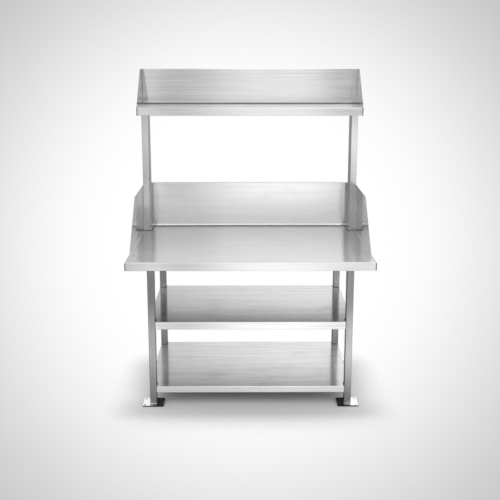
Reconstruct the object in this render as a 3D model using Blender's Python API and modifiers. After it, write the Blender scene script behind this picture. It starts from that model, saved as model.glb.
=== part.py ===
"""Packing table in folded stainless steel.

A worktop tray with high splashes stands on a welded leg frame with two notched shelves, and two posts on the
worktop carry an upper shelf. Sizes are in metres, +Z is up and the packer stands on the -Y side. The origin is
on the floor, under the middle of the whole table.
"""

import math

import bmesh
import bpy
from mathutils import Matrix, Vector

# Sheet metal work
SHEET = 0.0015
SIDE_SHEET = 0.002
BEND_RADIUS = 0.003
LIP_RETURN = 0.015
SEAM_GAP = 0.0003

# Worktop
WORKTOP_WIDTH = 1.400
WORKTOP_DEPTH = 0.800
WORKTOP_HEIGHT = 0.870
WORKTOP_LIP = 0.050

# Back panels, over the worktop and over the upper shelf
BACKSPLASH_RISE = 0.294
UPPER_BACK_RISE = 0.227
BACK_RETURN = 0.015
BACK_HEM = 0.010

# Side splashes, which stand on the worktop and lean back at the front
SPLASH_INSET = 0.009
SPLASH_SETBACK = 0.097
SPLASH_RAKE = 0.254
SPLASH_CORNER = 0.030

# Posts of the upper shelf
POST_WIDTH = 0.042
POST_DEPTH = 0.100
POST_WALL = 0.002
POST_CORNER = 0.003
POST_TO_BACKSPLASH = 0.010

# Upper shelf, with its side panels a little in from the worktop's ends
UPPER_SIDE_INSET = 0.007
UPPER_SHELF_HEIGHT = 1.682
UPPER_SHELF_DEPTH = 0.266
UPPER_SHELF_LIP = 0.050
UPPER_SIDE_RAKE = 0.183
UPPER_SIDE_CORNER = 0.012

# Leg frame, and how far in it stands from the worktop's edges
LEG = 0.040
LEG_WALL = 0.002
LEG_CORNER = 0.003
FRAME_FRONT_INSET = 0.031
FRAME_BACK_INSET = 0.153
FRAME_SIDE_INSET = 0.117
RAIL_HEIGHT = 0.040
RAIL_WALL = 0.0015
RAIL_CORNER = 0.0025

# Foot plates, bolted down through four holes each
FOOT_WIDTH = 0.120
FOOT_DEPTH = 0.090
FOOT_THICKNESS = 0.008
FOOT_CORNER = 0.003
ANCHOR_HOLE_RADIUS = 0.005
ANCHOR_EDGE_DISTANCE = 0.0125

# Shelves between the legs
MIDDLE_SHELF_HEIGHT = 0.507
MIDDLE_SHELF_LIP = 0.045
LOWER_SHELF_HEIGHT = 0.115
LOWER_SHELF_LIP = 0.040

# Hat channels welded under the decks
CHANNEL_CROWN = 0.040
CHANNEL_HEIGHT = 0.025
CHANNEL_FLANGE = 0.015

# How many worktop channels there are, and how finely round stretches are divided
WORKTOP_CHANNELS = 2
BEND_SEGMENTS = 3
CORNER_STEPS = 3
HOLE_STEPS = 16
FOLD_ANGLE = math.radians(30)

# Finishes: colour, roughness and metallic value
BRUSHED_DECK = ((0.66, 0.66, 0.66), 0.28, 1.0)
BRUSHED_PANEL = ((0.62, 0.62, 0.63), 0.30, 1.0)
GROUND_TUBE = ((0.56, 0.56, 0.57), 0.34, 1.0)
CUT_PLATE = ((0.60, 0.60, 0.61), 0.36, 1.0)
MILL_INNER = ((0.45, 0.45, 0.46), 0.45, 1.0)

# Places that several pieces share, all worked out from the sizes above
FRONT_Y = -(WORKTOP_DEPTH + SEAM_GAP + BACK_RETURN) / 2
WORKTOP_BACK_Y = FRONT_Y + WORKTOP_DEPTH
BACK_FACE_Y = WORKTOP_BACK_Y + SEAM_GAP
FRAME_WIDTH = WORKTOP_WIDTH - 2 * FRAME_SIDE_INSET
FRAME_DEPTH = WORKTOP_DEPTH - FRAME_FRONT_INSET - FRAME_BACK_INSET
FRAME_FRONT_Y = FRONT_Y + FRAME_FRONT_INSET
FRAME_MIDDLE_Y = FRAME_FRONT_Y + FRAME_DEPTH / 2
LEG_OFFSET_X = (FRAME_WIDTH - LEG) / 2
LEG_OFFSET_Y = (FRAME_DEPTH - LEG) / 2
SPLASH_X = WORKTOP_WIDTH / 2 - SPLASH_INSET - SIDE_SHEET / 2
UPPER_SIDE_X = WORKTOP_WIDTH / 2 - UPPER_SIDE_INSET - SIDE_SHEET / 2
UPPER_SHELF_WIDTH = 2 * (UPPER_SIDE_X - SIDE_SHEET / 2 - SEAM_GAP)
POST_BACK_Y = BACK_FACE_Y - POST_TO_BACKSPLASH
POST_Y = POST_BACK_Y - POST_DEPTH / 2
UNDER_DECK = SHEET + SEAM_GAP
INSIDE_LIP = BEND_RADIUS + SEAM_GAP
POST_X = UPPER_SHELF_WIDTH / 2 - INSIDE_LIP - POST_WIDTH / 2

UP = Vector((0, 0, 1))
ALONG_X = (math.pi / 2, 0, math.pi / 2)
ALONG_Y = (math.pi / 2, 0, 0)


def clear_scene():
    for item in list(bpy.data.objects):
        bpy.data.objects.remove(item, do_unlink=True)


def make_collection(name):
    collection = bpy.data.collections.new(name)
    bpy.context.scene.collection.children.link(collection)
    return collection


def make_anchor(collection, name, height):
    """An empty on the table's middle line, which carries the pieces of one sub-assembly."""
    anchor = bpy.data.objects.new(name, None)
    anchor.location = (0, 0, height)
    collection.objects.link(anchor)
    return anchor


def steel(name, finish):
    colour, roughness, metallic = finish
    material = bpy.data.materials.new(name + "_steel")
    material.use_nodes = True
    shader = material.node_tree.nodes["Principled BSDF"]
    shader.inputs["Base Color"].default_value = (*colour, 1)
    shader.inputs["Roughness"].default_value = roughness
    shader.inputs["Metallic"].default_value = metallic
    return material


def place(anchor, name, data, finish, location, turn=(0, 0, 0)):
    """Adds an object with its own material, at a place measured from its sub-assembly's anchor."""
    piece = bpy.data.objects.new(name, data)
    piece.data.materials.append(steel(name, finish))
    piece.parent = anchor
    piece.location = location
    piece.rotation_euler = turn
    anchor.users_collection[0].objects.link(piece)
    return piece


# Outlines for plates and tubes


def round_corner(before, corner, after, radius):
    """The points of an arc that rounds one corner of an outline, or the corner itself for no radius."""
    if not radius:
        return [corner]
    back = (before - corner).normalized()
    ahead = (after - corner).normalized()
    half_angle = back.angle(ahead) / 2
    centre = corner + (back + ahead).normalized() * radius / math.sin(half_angle)
    start = corner + back * radius / math.tan(half_angle) - centre
    end = corner + ahead * radius / math.tan(half_angle) - centre
    turns = [start.slerp(end, step / CORNER_STEPS) for step in range(CORNER_STEPS + 1)]
    return [centre + turn.normalized() * radius for turn in turns]


def rounded_outline(corners, radii):
    corners = [Vector(corner) for corner in corners]
    followers = corners[1:] + corners[:1]
    outline = []
    for before, corner, after, radius in zip([corners[-1]] + corners[:-1], corners, followers, radii):
        outline += round_corner(before, corner, after, radius)
    return outline


def rectangle(width, depth, radius):
    corners = [(x * width / 2, y * depth / 2) for x, y in ((-1, -1), (1, -1), (1, 1), (-1, 1))]
    return rounded_outline(corners, [radius] * len(corners))


def circle(centre_x, centre_y, radius):
    turns = [2 * math.pi * step / HOLE_STEPS for step in range(HOLE_STEPS)]
    return [Vector((centre_x + radius * math.cos(t), centre_y + radius * math.sin(t))) for t in turns]


def flat_curve(name, outlines, thickness):
    """A filled 2D curve of the given thickness. An outline inside another one is a hole in it."""
    curve = bpy.data.curves.new(name, "CURVE")
    curve.dimensions = "2D"
    curve.fill_mode = "BOTH"
    curve.extrude = thickness / 2
    for outline in outlines:
        spline = curve.splines.new("POLY")
        spline.points.add(len(outline) - 1)
        for point, spot in zip(spline.points, outline):
            point.co = (spot.x, spot.y, 0, 1)
        spline.use_cyclic_u = True
    return curve


def tube_curve(name, width, depth, wall, corner, length):
    """A rectangular tube, open at both ends, that runs along the curve's own Z."""
    outer = rectangle(width, depth, corner)
    inner = rectangle(width - 2 * wall, depth - 2 * wall, max(corner - wall, 0))
    return flat_curve(name, [outer, inner], length)


# Folded sheet, drawn as its outer surface and given its thickness afterwards


def flat_sheet(width, depth):
    """A level sheet on its own middle, from which flanges are folded."""
    sheet = bmesh.new()
    bmesh.ops.create_grid(sheet, x_segments=1, y_segments=1, size=width / 2)
    bmesh.ops.scale(sheet, vec=(1, depth / width, 1), verts=sheet.verts)
    return sheet


def notch_corners(sheet, width, depth, notch):
    """Cuts a square notch out of each corner of a level sheet."""
    for direction, limit in (((1, 0, 0), width / 2 - notch), ((0, 1, 0), depth / 2 - notch)):
        for side in (-1, 1):
            line = Vector(direction) * side * limit
            everything = sheet.verts[:] + sheet.edges[:] + sheet.faces[:]
            bmesh.ops.bisect_plane(sheet, geom=everything, dist=SEAM_GAP / 2, plane_co=line, plane_no=direction)
    corners = []
    for face in sheet.faces:
        middle = face.calc_center_median()
        if abs(middle.x) > width / 2 - notch and abs(middle.y) > depth / 2 - notch:
            corners.append(face)
    bmesh.ops.delete(sheet, geom=corners, context="FACES")


def rim_edges(sheet, wanted):
    """The free edges whose middle point satisfies the given test."""
    rim = [edge for edge in sheet.edges if edge.is_boundary]
    return [edge for edge in rim if wanted((edge.verts[0].co + edge.verts[1].co) / 2)]


def outer_rim(sheet, width, depth):
    """The free edges that lie on the sheet's outer sides, and so not those of a notch."""
    side, end = width / 2 - SEAM_GAP, depth / 2 - SEAM_GAP
    return rim_edges(sheet, lambda middle: abs(middle.x) > side or abs(middle.y) > end)


def extrude(sheet, edges):
    """Doubles the edges for a new flange. Gives the new edges and, for each new point, the one it came from."""
    made = bmesh.ops.extrude_edge_only(sheet, edges=edges)["geom"]
    points = {item for item in made if isinstance(item, bmesh.types.BMVert)}
    new_edges = [item for item in made if isinstance(item, bmesh.types.BMEdge) and points >= set(item.verts)]
    origins = {}
    for point in points:
        partners = [edge.other_vert(point) for edge in point.link_edges]
        origins[point] = next(partner for partner in partners if partner not in points)
    return new_edges, origins


def fold(sheet, edges, move):
    """Folds a flange from each edge, all in the same direction."""
    new_edges, origins = extrude(sheet, edges)
    bmesh.ops.translate(sheet, verts=list(origins), vec=move)
    return new_edges


def level_moves(edges, reach):
    """For each point of the edges, the way inward to a level flange's free edge, with its ends cut at 45 degrees."""
    moves = {}
    for edge in edges:
        middle = (edge.verts[0].co + edge.verts[1].co) / 2
        for point in edge.verts:
            along = (middle - point.co).normalized()
            across = along.cross(UP)
            inward = across if across.dot(middle) < 0 else -across
            moves[point] = (inward + along) * reach
    return moves


def fold_inward(sheet, edges, reach):
    """Folds a level flange in from each edge, mitred where two meet."""
    moves = level_moves(edges, reach)
    new_edges, origins = extrude(sheet, edges)
    for point, origin in origins.items():
        point.co += moves[origin]
    return new_edges


def sheet_mesh(name, sheet, outside):
    """Turns every face outward, given the way that the largest one looks."""
    bmesh.ops.recalc_face_normals(sheet, faces=sheet.faces)
    largest = max(sheet.faces, key=lambda face: face.calc_area())
    if largest.normal.dot(Vector(outside)) < 0:
        bmesh.ops.reverse_faces(sheet, faces=sheet.faces)
    mesh = bpy.data.meshes.new(name)
    sheet.to_mesh(mesh)
    sheet.free()
    mesh.shade_smooth()
    return mesh


def bend_and_thicken(piece):
    """Rounds the folds of a sheet, then gives it its thickness on the inner side."""
    bends = piece.modifiers.new("bends", "BEVEL")
    bends.width = BEND_RADIUS
    bends.segments = BEND_SEGMENTS
    bends.limit_method = "ANGLE"
    bends.angle_limit = FOLD_ANGLE
    wall = piece.modifiers.new("wall", "SOLIDIFY")
    wall.thickness = SHEET
    wall.offset = -1
    wall.use_even_offset = True
    return piece


def tray(anchor, name, width, depth, lip, location, notch=0, front_return_only=False):
    """A deck with a lip folded down all round and a narrow return folded in under the lip."""
    sheet = flat_sheet(width, depth)
    if notch:
        notch_corners(sheet, width, depth, notch)
    lower_edges = fold(sheet, outer_rim(sheet, width, depth), (0, 0, -lip))
    if front_return_only:
        lower_edges = [edge for edge in lower_edges if max(point.co.y for point in edge.verts) < 0]
    fold_inward(sheet, lower_edges, LIP_RETURN)
    mesh = sheet_mesh(name, sheet, UP)
    return bend_and_thicken(place(anchor, name, mesh, BRUSHED_DECK, location))


def back_panel(anchor, name, width, rise, lap):
    """An upright sheet that laps a tray's back lip. Its top is folded back and hemmed down."""
    sheet = flat_sheet(width, rise + lap)
    bmesh.ops.rotate(sheet, verts=sheet.verts, matrix=Matrix.Rotation(math.pi / 2, 3, "X"))
    top = (rise + lap) / 2
    crest = rim_edges(sheet, lambda middle: middle.z > top - SEAM_GAP)
    crest = fold(sheet, crest, (0, BACK_RETURN, 0))
    fold(sheet, crest, (0, 0, -BACK_HEM))
    mesh = sheet_mesh(name, sheet, (0, -1, 0))
    location = (0, BACK_FACE_Y, rise - top)
    return bend_and_thicken(place(anchor, name, mesh, BRUSHED_PANEL, location))


def hat_channel(anchor, name, length, location, turn=0):
    """A stiffener under a deck: a crown, two webs and two flanges. It runs along X until it is turned."""
    sheet = flat_sheet(length, CHANNEL_CROWN)
    long_edges = rim_edges(sheet, lambda middle: abs(middle.y) > CHANNEL_CROWN / 2 - SEAM_GAP)
    web_edges = fold(sheet, long_edges, (0, 0, CHANNEL_HEIGHT))
    _, origins = extrude(sheet, web_edges)
    for point in origins:
        point.co.y += math.copysign(CHANNEL_FLANGE, point.co.y)
    mesh = sheet_mesh(name, sheet, -UP)
    x, y, deck_underside = location
    seat = (x, y, deck_underside - SEAM_GAP - CHANNEL_HEIGHT - SHEET)
    return bend_and_thicken(place(anchor, name, mesh, MILL_INNER, seat, (0, 0, turn)))


# Leg frame


def add_legs(anchor):
    """Four legs, from the foot plates to the long rails, each with its plate."""
    foot_top = FOOT_THICKNESS + SEAM_GAP
    leg_top = WORKTOP_HEIGHT - UNDER_DECK - RAIL_HEIGHT - SEAM_GAP
    for row, y_side in (("front", -1), ("back", 1)):
        for hand, x_side in (("left", -1), ("right", 1)):
            x = x_side * LEG_OFFSET_X
            y = FRAME_MIDDLE_Y + y_side * LEG_OFFSET_Y
            name = f"leg_{row}_{hand}"
            leg = tube_curve(name, LEG, LEG, LEG_WALL, LEG_CORNER, leg_top - foot_top)
            place(anchor, name, leg, GROUND_TUBE, (x, y, (leg_top + foot_top) / 2))
            add_foot_plate(anchor, f"foot_plate_{row}_{hand}", x, y)


def add_foot_plate(anchor, name, x, y):
    hole_x = FOOT_WIDTH / 2 - ANCHOR_EDGE_DISTANCE
    hole_y = FOOT_DEPTH / 2 - ANCHOR_EDGE_DISTANCE
    outlines = [rectangle(FOOT_WIDTH, FOOT_DEPTH, FOOT_CORNER)]
    for x_side in (-1, 1):
        for y_side in (-1, 1):
            outlines.append(circle(x_side * hole_x, y_side * hole_y, ANCHOR_HOLE_RADIUS))
    plate = flat_curve(name, outlines, FOOT_THICKNESS)
    place(anchor, name, plate, CUT_PLATE, (x, y, FOOT_THICKNESS / 2))


def add_rails(anchor):
    """Two long rails across the worktop, two cross rails between them, and a bearer under each post."""
    rail_z = -UNDER_DECK - RAIL_HEIGHT / 2
    long_length = WORKTOP_WIDTH - 2 * INSIDE_LIP
    cross_length = FRAME_DEPTH - 2 * LEG - 2 * SEAM_GAP
    bearer_front = FRAME_FRONT_Y + FRAME_DEPTH + SEAM_GAP
    bearer_back = WORKTOP_BACK_Y - INSIDE_LIP
    for row, y_side in (("front", -1), ("back", 1)):
        name = f"rail_{row}"
        rail = tube_curve(name, LEG, RAIL_HEIGHT, RAIL_WALL, RAIL_CORNER, long_length)
        place(anchor, name, rail, MILL_INNER, (0, FRAME_MIDDLE_Y + y_side * LEG_OFFSET_Y, rail_z), ALONG_X)
    for hand, x_side in (("left", -1), ("right", 1)):
        name = f"rail_{hand}"
        rail = tube_curve(name, LEG, RAIL_HEIGHT, RAIL_WALL, RAIL_CORNER, cross_length)
        place(anchor, name, rail, MILL_INNER, (x_side * LEG_OFFSET_X, FRAME_MIDDLE_Y, rail_z), ALONG_Y)
        name = f"post_bearer_{hand}"
        bearer = tube_curve(name, LEG, RAIL_HEIGHT, RAIL_WALL, RAIL_CORNER, bearer_back - bearer_front)
        middle = (bearer_back + bearer_front) / 2
        place(anchor, name, bearer, MILL_INNER, (x_side * POST_X, middle, rail_z), ALONG_Y)


def add_shelf(anchor, name, height, lip):
    """A tray with its corners notched round the legs, and one hat channel along its middle."""
    location = (0, FRAME_MIDDLE_Y, height)
    tray(anchor, name, FRAME_WIDTH, FRAME_DEPTH, lip, location, notch=LEG + SEAM_GAP)
    length = FRAME_WIDTH - 2 * INSIDE_LIP
    hat_channel(anchor, name + "_channel", length, (0, FRAME_MIDDLE_Y, height - SHEET))


# Worktop and splashes


def add_worktop(anchor):
    middle_y = FRONT_Y + WORKTOP_DEPTH / 2
    tray(anchor, "worktop", WORKTOP_WIDTH, WORKTOP_DEPTH, WORKTOP_LIP, (0, middle_y, 0))
    length = FRAME_DEPTH - 2 * LEG - 2 * SEAM_GAP
    spacing = (FRAME_WIDTH - 2 * LEG) / (WORKTOP_CHANNELS + 1)
    for number in range(WORKTOP_CHANNELS):
        x = (number - (WORKTOP_CHANNELS - 1) / 2) * spacing
        name = f"worktop_channel_{number + 1}"
        hat_channel(anchor, name, length, (x, FRAME_MIDDLE_Y, -SHEET), math.pi / 2)


def add_side_splashes(anchor):
    """Flat plates on the worktop's sides, with the front edge raked back and a round top corner."""
    front = FRONT_Y + SPLASH_SETBACK
    back = BACK_FACE_Y - SEAM_GAP
    corners = [(back, SEAM_GAP), (front, SEAM_GAP), (front + SPLASH_RAKE, BACKSPLASH_RISE), (back, BACKSPLASH_RISE)]
    outline = rounded_outline(corners, [0, 0, SPLASH_CORNER, 0])
    for hand, x_side in (("left", -1), ("right", 1)):
        name = f"side_splash_{hand}"
        plate = flat_curve(name, [outline], SIDE_SHEET)
        place(anchor, name, plate, BRUSHED_PANEL, (x_side * SPLASH_X, 0, 0), ALONG_X)


def add_posts(anchor):
    """Two rectangular tubes, from the worktop to the underside of the upper shelf's deck."""
    bottom = SEAM_GAP
    top = UPPER_SHELF_HEIGHT - WORKTOP_HEIGHT - UNDER_DECK
    for hand, x_side in (("left", -1), ("right", 1)):
        name = f"post_{hand}"
        post = tube_curve(name, POST_WIDTH, POST_DEPTH, POST_WALL, POST_CORNER, top - bottom)
        place(anchor, name, post, GROUND_TUBE, (x_side * POST_X, POST_Y, (top + bottom) / 2))


# Upper shelf


def add_upper_shelf(anchor):
    """A tray between its side panels, with a channel between the two posts."""
    middle_y = WORKTOP_BACK_Y - UPPER_SHELF_DEPTH / 2
    location = (0, middle_y, 0)
    size = (UPPER_SHELF_WIDTH, UPPER_SHELF_DEPTH, UPPER_SHELF_LIP)
    tray(anchor, "upper_shelf", *size, location, front_return_only=True)
    length = 2 * (POST_X - POST_WIDTH / 2 - SEAM_GAP)
    hat_channel(anchor, "upper_shelf_channel", length, (0, POST_Y, -SHEET))
    back_panel(anchor, "upper_back", UPPER_SHELF_WIDTH, UPPER_BACK_RISE, UPPER_SHELF_LIP)


def add_upper_sides(anchor):
    """Side panels that lap the upper tray's ends, from the bottom of its lip to the top of its back panel."""
    front = WORKTOP_BACK_Y - UPPER_SHELF_DEPTH
    back = BACK_FACE_Y + BACK_RETURN
    corners = [
        (back, -UPPER_SHELF_LIP),
        (front, -UPPER_SHELF_LIP),
        (front, 0),
        (front + UPPER_SIDE_RAKE, UPPER_BACK_RISE),
        (back, UPPER_BACK_RISE),
    ]
    outline = rounded_outline(corners, [0, 0, 0, UPPER_SIDE_CORNER, 0])
    for hand, x_side in (("left", -1), ("right", 1)):
        name = f"upper_side_{hand}"
        plate = flat_curve(name, [outline], SIDE_SHEET)
        place(anchor, name, plate, BRUSHED_PANEL, (x_side * UPPER_SIDE_X, 0, 0), ALONG_X)


def main():
    clear_scene()
    table = make_collection("packing_table")
    floor_anchor = make_anchor(table, "floor_anchor", 0)
    worktop_anchor = make_anchor(table, "worktop_anchor", WORKTOP_HEIGHT)
    upper_anchor = make_anchor(table, "upper_anchor", UPPER_SHELF_HEIGHT)
    add_legs(floor_anchor)
    add_shelf(floor_anchor, "shelf_lower", LOWER_SHELF_HEIGHT, LOWER_SHELF_LIP)
    add_shelf(floor_anchor, "shelf_middle", MIDDLE_SHELF_HEIGHT, MIDDLE_SHELF_LIP)
    add_rails(worktop_anchor)
    add_worktop(worktop_anchor)
    back_panel(worktop_anchor, "backsplash", WORKTOP_WIDTH, BACKSPLASH_RISE, WORKTOP_LIP)
    add_side_splashes(worktop_anchor)
    add_posts(worktop_anchor)
    add_upper_shelf(upper_anchor)
    add_upper_sides(upper_anchor)


main()
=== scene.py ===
"""Looks of the packing table: brushed stainless steel, welds and seams, floor, lamps and camera.

Everything is in metres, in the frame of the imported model. The packer stands on the -Y side.
"""

import logging
import math
from collections.abc import Mapping
from dataclasses import dataclass
from enum import Enum

import bpy
from mathutils import Matrix, Vector


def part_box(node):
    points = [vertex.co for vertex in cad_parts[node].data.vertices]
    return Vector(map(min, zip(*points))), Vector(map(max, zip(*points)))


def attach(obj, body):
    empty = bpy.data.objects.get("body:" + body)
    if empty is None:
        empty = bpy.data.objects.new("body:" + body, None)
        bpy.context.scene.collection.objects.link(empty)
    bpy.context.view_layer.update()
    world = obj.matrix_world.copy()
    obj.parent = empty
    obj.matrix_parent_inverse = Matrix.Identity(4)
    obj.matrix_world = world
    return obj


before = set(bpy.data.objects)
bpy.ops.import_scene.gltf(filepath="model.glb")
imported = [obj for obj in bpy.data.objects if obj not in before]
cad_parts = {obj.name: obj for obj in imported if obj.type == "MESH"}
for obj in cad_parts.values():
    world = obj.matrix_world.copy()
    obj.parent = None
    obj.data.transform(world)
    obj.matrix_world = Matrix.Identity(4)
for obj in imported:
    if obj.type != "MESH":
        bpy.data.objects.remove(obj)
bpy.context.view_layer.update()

LOG = logging.getLogger("packing_table")
BODY = "root"
# Each hand and each row with its side of the table's middle
HANDS = {"left": -1, "right": 1}
ROWS = {"front": -1, "back": 1}
UP = Vector((0.0, 0.0, 1.0))
TO_PACKER = Vector((0.0, -1.0, 0.0))
WHITE = (1.0, 1.0, 1.0, 1.0)
NOISE_AVERAGE = 0.5
BUMP_DEPTH = 0.001
SMOOTH_DEGREES = 35.0

# How far a face's unit normal goes down, up, inwards or along the grain before the face looks that way
LOOKS_DOWN = -0.5
LOOKS_UP = 0.7
LOOKS_INWARDS = -0.7
LOOKS_ALONG = 0.75
# How far the unit normal of an upright face may rise or fall
UPRIGHT = 0.5

Socket = bpy.types.NodeSocket
Piece = bpy.types.Object
Material = bpy.types.Material
Triple = tuple[float, float, float]
Value = float | tuple[float, ...] | Socket


class Axis(Enum):
    """A direction of the table, as a unit vector."""

    X = (1.0, 0.0, 0.0)
    Y = (0.0, 1.0, 0.0)
    Z = (0.0, 0.0, 1.0)
    BACK_RIGHT = (0.6, 0.8, 0.0)


class Work(Enum):
    """How a steel surface was worked, with the fineness of its swirls where it has them."""

    BRUSHED = 0.0
    ORBITAL = 60.0
    WELDED = 400.0


class Mixed(Enum):
    """What a Mix node mixes: its name for it, the places of the two inputs and the place of the output."""

    NUMBERS = ("FLOAT", 2, 3, 0)
    VECTORS = ("VECTOR", 4, 5, 1)
    COLOURS = ("RGBA", 6, 7, 2)


class Graph:
    """A node tree, with short ways to add and join its nodes."""

    def __init__(self, tree: bpy.types.NodeTree) -> None:
        """Keeps the node tree of a material, of the world or of a group."""
        self.tree = tree

    def node(self, kind: str, *inputs: Value, **properties: object) -> bpy.types.Node:
        """Adds a node.

        Args:
            kind: the node's type name.
            *inputs: values or sockets for its inputs, in order.
            **properties: properties of the node itself.

        Returns:
            The new node.
        """
        made = self.tree.nodes.new(kind)
        for key, value in properties.items():
            setattr(made, key, value)
        for socket, value in zip(made.inputs, inputs):
            self.feed(socket, value)
        return made

    def feed(self, socket: Socket, value: Value) -> None:
        """Links a socket to another one, or sets its number, vector or colour.

        Args:
            socket: the input to fill.
            value: an output socket, a number or a tuple.
        """
        if isinstance(value, bpy.types.NodeSocket):
            self.tree.links.new(value, socket)
        else:
            socket.default_value = value

    def fill(self, node: bpy.types.Node, **values: Value) -> None:
        """Fills inputs of a node by their names, with _ for a space in a name."""
        for key, value in values.items():
            self.feed(node.inputs[key.replace("_", " ")], value)

    def maths(self, operation: str, *values: Value, clamp: bool = False) -> Socket:
        """The result of a Math node with these inputs, kept between 0 and 1 where it is clamped."""
        return self.node("ShaderNodeMath", *values, operation=operation, use_clamp=clamp).outputs[0]

    def chain(self, operation: str, first: Value, *others: Value) -> Socket:
        """Adds or multiplies several values, one after the other.

        Args:
            operation: ADD or MULTIPLY.
            first: the first value.
            *others: the values that follow.

        Returns:
            The result.
        """
        for value in others:
            first = self.maths(operation, first, value)
        return first

    def weigh(self, *pairs: tuple[Value, Value]) -> Socket:
        """The sum of values, each times its weight."""
        return self.chain("ADD", *(self.maths("MULTIPLY", value, weight) for value, weight in pairs))

    def darken(self, mask: Value, loss: Value) -> Socket:
        """What is left of 1 after a loss that a mask lets through."""
        return self.maths("SUBTRACT", 1.0, self.maths("MULTIPLY", mask, loss))

    def vector(self, operation: str, *values: Value) -> Socket:
        """The result of a Vector Math node: a number for a dot product or a length, or else a vector."""
        made = self.node("ShaderNodeVectorMath", *values, operation=operation)
        return made.outputs[1 if operation in ("DOT_PRODUCT", "LENGTH") else 0]

    def mix(self, mixed: Mixed, factor: Value, first: Value, second: Value, mode: str = "MIX") -> Socket:
        """Mixes two values.

        Args:
            mixed: what they are.
            factor: how much of the second one shows.
            first: a value.
            second: another value.
            mode: the blend mode of colours.

        Returns:
            The mixed value.
        """
        kind, first_place, second_place, result_place = mixed.value
        made = self.node("ShaderNodeMix", factor, data_type=kind, blend_type=mode)
        self.feed(made.inputs[first_place], first)
        self.feed(made.inputs[second_place], second)
        return made.outputs[result_place]

    def split(self, vector: Socket) -> Mapping[str, Socket]:
        """The X, Y and Z of a vector, by name."""
        return self.node("ShaderNodeSeparateXYZ", vector).outputs

    def grey(self, tone: Socket) -> Socket:
        """A grey colour of this tone."""
        return self.node("ShaderNodeCombineXYZ", tone, tone, tone).outputs[0]

    def normal(self) -> Socket:
        """The direction that a face looks in."""
        return self.node("ShaderNodeNewGeometry").outputs["True Normal"]

    def place(self) -> Socket:
        """The place on the piece."""
        return self.node("ShaderNodeTexCoord").outputs["Object"]

    def face_directions(self, grain: Value, second: Value) -> tuple[Socket, Socket, Socket]:
        """Finds a face's own directions.

        Args:
            grain: the direction of the grain.
            second: the direction that the grain takes on faces that look along it.

        Returns:
            The directions along the grain, across it and out of the face.
        """
        normal = self.normal()
        facing = self.maths("ABSOLUTE", self.vector("DOT_PRODUCT", normal, grain))
        turned = self.maths("GREATER_THAN", facing, LOOKS_ALONG)
        along = self.mix(Mixed.VECTORS, turned, grain, second)
        return along, self.vector("CROSS_PRODUCT", normal, along), normal


@dataclass(frozen=True)
class Noise:
    """A noise pattern: how fine it is, how many finer layers it has and how strong they are."""

    scale: float
    detail: float
    roughness: float = 0.5

    def place(self, g: Graph, spot: Socket) -> Socket:
        """The pattern at a spot, between 0 and 1."""
        made = g.node("ShaderNodeTexNoise", noise_dimensions="3D")
        g.fill(made, Vector=spot, Scale=self.scale, Detail=self.detail, Roughness=self.roughness)
        return made.outputs["Fac"]

    def centred(self, g: Graph, spot: Socket) -> Socket:
        """The pattern less its average."""
        return g.maths("SUBTRACT", self.place(g, spot), NOISE_AVERAGE)


@dataclass(frozen=True)
class Ramp:
    """A smooth change from one level to another, while a value goes from low to high."""

    low: Value
    high: Value
    at_low: Value
    at_high: Value

    def place(self, g: Graph, value: Socket) -> Socket:
        """Places the change in a graph.

        Args:
            g: the graph.
            value: what goes from low to high.

        Returns:
            The level.
        """
        made = g.node("ShaderNodeMapRange", interpolation_type="SMOOTHSTEP")
        g.fill(made, Value=value, From_Min=self.low, From_Max=self.high, To_Min=self.at_low,
               To_Max=self.at_high)
        return made.outputs["Result"]


@dataclass(frozen=True)
class Band:
    """A smooth rise round a middle, full up to the inner distance from it and gone from the outer one on."""

    middle: float
    inner: float
    outer: float
    amount: float

    def place(self, g: Graph, value: Socket) -> Socket:
        """The rise at a value."""
        apart = g.maths("ABSOLUTE", g.maths("SUBTRACT", value, self.middle))
        return Ramp(self.inner, self.outer, self.amount, 0.0).place(g, apart)


class EffectGroup:
    """A shader node group with named inputs and outputs, built once and used by several materials."""

    def __init__(self, name: str, results: tuple[str, ...], values: tuple[str, ...],
                 vectors: tuple[str, ...] = ()) -> None:
        """Makes the empty group.

        Args:
            name: the group's name.
            results: the names of the values that it puts out.
            values: the names of the values that it takes in.
            vectors: the names of the vectors that it takes in.
        """
        self.tree = bpy.data.node_groups.new(name, "ShaderNodeTree")
        for direction, kind, labels in (("INPUT", "NodeSocketVector", vectors),
                                        ("INPUT", "NodeSocketFloat", values),
                                        ("OUTPUT", "NodeSocketFloat", results)):
            for label in labels:
                self.tree.interface.new_socket(label, in_out=direction, socket_type=kind)
        self.graph = Graph(self.tree)
        self.start = self.graph.node("NodeGroupInput").outputs
        self.end = self.graph.node("NodeGroupOutput")

    def place(self, g: Graph, **values: Value) -> Mapping[str, Socket]:
        """Places the group in a material.

        Args:
            g: the material's graph.
            **values: values or sockets for the inputs, with _ for a space in a name.

        Returns:
            The placed node's outputs, by name.
        """
        made = g.node("ShaderNodeGroup", node_tree=self.tree)
        g.fill(made, **values)
        return made.outputs


@dataclass(frozen=True)
class StreakLayer:
    """A layer of streaks, this many to the metre along the grain, across it and out of the face."""

    along: float
    across: float
    detail: float
    outwards: float = 7.0

    def place(self, g: Graph, spot: list[Socket], fineness: Socket) -> Socket:
        """Places the layer in a graph.

        Args:
            g: the graph.
            spot: the distances along the grain, across it and out of the face.
            fineness: what the number of streaks across is multiplied by.

        Returns:
            A value that is 0 on average.
        """
        across = g.maths("MULTIPLY", spot[1], g.maths("MULTIPLY", fineness, self.across))
        point = g.node("ShaderNodeCombineXYZ", g.maths("MULTIPLY", spot[0], self.along), across,
                       g.maths("MULTIPLY", spot[2], self.outwards)).outputs[0]
        return Noise(1.0, self.detail).centred(g, point)


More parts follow.
